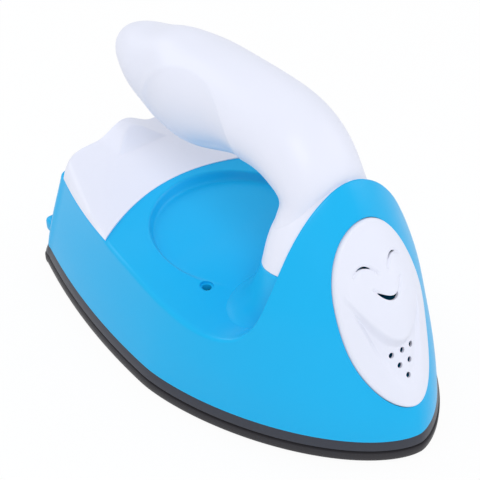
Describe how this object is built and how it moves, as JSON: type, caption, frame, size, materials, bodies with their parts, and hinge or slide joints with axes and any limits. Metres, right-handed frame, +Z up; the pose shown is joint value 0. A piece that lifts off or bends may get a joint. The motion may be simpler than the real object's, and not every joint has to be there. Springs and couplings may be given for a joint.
{
  "type": "mini craft iron",
  "caption": "Small pointed craft iron: dark coated sole, blue body with an oval white face plate, finger pocket, white rear cover and a curved white handle rising from the nose.",
  "frame": {"origin": "middle of the sole's length and width on its flat underside", "axes": "+Z up, away from the ironed surface; -Y towards the pointed nose, +Y towards the cord inlet; X across the sole"},
  "size_m": [0.0648, 0.1053, 0.0653],
  "materials": {
    "sole_metal": "dark non-stick coating, satin",
    "shield_metal": "rolled sheet",
    "gasket": "matte",
    "skirt_plastic": "satin",
    "blue_plastic": "glossy",
    "white_plastic": "satin gloss",
    "grey_plastic": "satin",
    "bush_rubber": "matte",
    "screw_steel": "plated",
    "strip_steel": "rolled",
    "brass": "drawn",
    "ceramic": "unglazed ceramic",
    "heater_ceramic": "fired ceramic with metal faces",
    "insulator_sheet": "mica sheet",
    "sleeve_fibre": "woven glass fibre",
    "lead_insulation": "silicone"
  },
  "bodies": {
    "root": {"soleplate": "sole_metal", "sole_gasket": "gasket", "base_skirt": "skirt_plastic", "body_shell": "blue_plastic", "rear_cover": "white_plastic", "cord_inlet_bush": "bush_rubber", "cord_clamp_bar": "grey_plastic", "handle_shell": "white_plastic", "handle_underside": "white_plastic", "face_plate": "white_plastic", "plate_push_rings": "strip_steel", "lower_insulator": "insulator_sheet", "lower_electrode": "strip_steel", "ptc_tablets": "heater_ceramic", "upper_electrode": "strip_steel", "upper_insulator": "insulator_sheet", "pressure_plate": "strip_steel", "pressure_washers": "strip_steel", "pressure_screws": "screw_steel", "shield_pillars": "ceramic", "heat_shield": "shield_metal", "shield_screws": "screw_steel", "thermal_fuse": "strip_steel", "fuse_sleeve": "sleeve_fibre", "fuse_clip": "strip_steel", "fuse_clip_screw": "screw_steel", "terminal_block": "ceramic", "block_screws": "screw_steel", "terminal_barrels": "brass", "terminal_screws": "screw_steel", "live_lead": "lead_insulation", "neutral_lead": "lead_insulation", "fuse_lead": "lead_insulation", "tab_connectors": "brass", "body_screws_front": "screw_steel", "body_screws_rear": "screw_steel", "rear_cover_screws": "screw_steel", "cord_clamp_screws": "screw_steel", "handle_root_screws": "screw_steel", "underside_screws": "screw_steel"}
  },
  "joints": []
}
